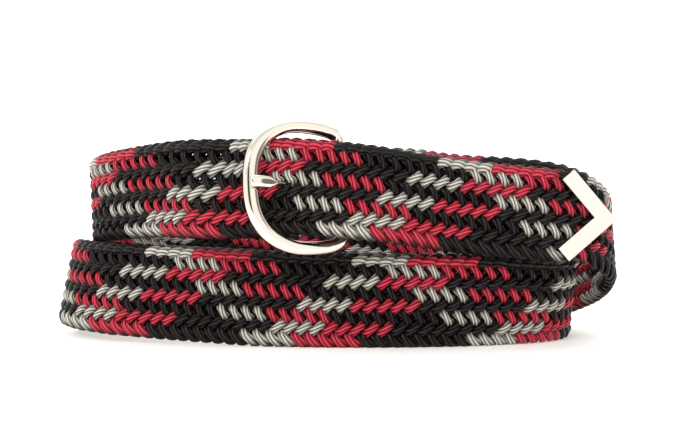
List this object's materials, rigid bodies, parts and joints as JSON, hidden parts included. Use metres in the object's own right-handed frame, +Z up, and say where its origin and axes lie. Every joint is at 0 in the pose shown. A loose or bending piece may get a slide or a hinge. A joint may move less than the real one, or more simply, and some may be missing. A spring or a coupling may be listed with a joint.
{
  "type": "braided belt",
  "caption": "Flat braided cord belt with a D-shaped cast buckle and a pointed metal tip, buckled and wound in turns that stand on edge",
  "frame": {"origin": "on the supporting surface, at the middle of the footprint of the wound belt", "axes": "+X towards the belt's metal tip (the viewer's right), +Y to the back of the coil, +Z up"},
  "size_m": [0.2376, 0.1274, 0.0838],
  "materials": {
    "braided_cord": "black, red and light grey plied cord, matt with a slight sheen",
    "polished_nickel": "cast and polished, warm silver"
  },
  "bodies": {
    "root": {"braided_band": "braided_cord", "buckle_frame": "polished_nickel", "prong": "polished_nickel", "tip_cap": "polished_nickel"}
  },
  "joints": []
}
